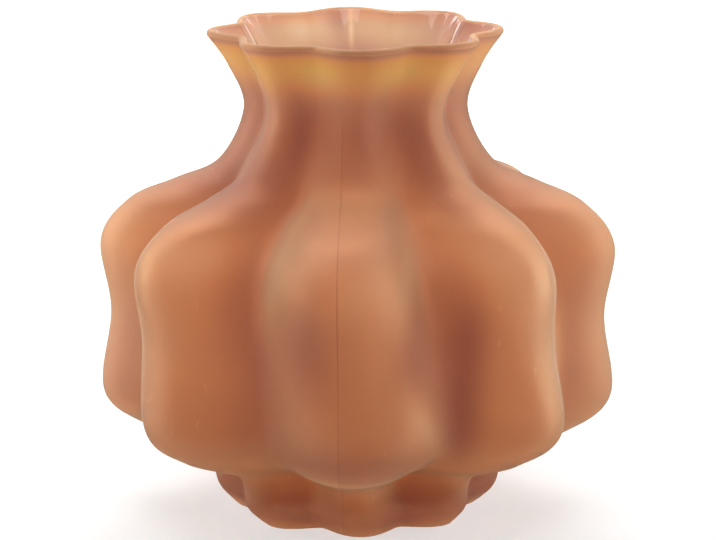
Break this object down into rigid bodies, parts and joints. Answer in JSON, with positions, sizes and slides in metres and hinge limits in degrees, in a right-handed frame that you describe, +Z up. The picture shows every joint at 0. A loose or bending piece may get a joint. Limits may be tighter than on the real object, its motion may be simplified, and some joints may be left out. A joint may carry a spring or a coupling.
{
  "type": "glass vase",
  "caption": "Satin amber glass vase with a flared scalloped mouth, a narrow throat, a lobed belly and a lobed foot, for holding cut flowers.",
  "frame": {"origin": "on the vase's axis, in the plane of the ring that it stands on", "axes": "+Z up along the axis towards the mouth, -Y towards the front lobe that the picture faces"},
  "size_m": [0.2226, 0.223, 0.2102],
  "materials": {
    "satin_glass": "satin outside, glossy inside"
  },
  "bodies": {
    "root": {"glass_vessel": "satin_glass"}
  },
  "joints": []
}
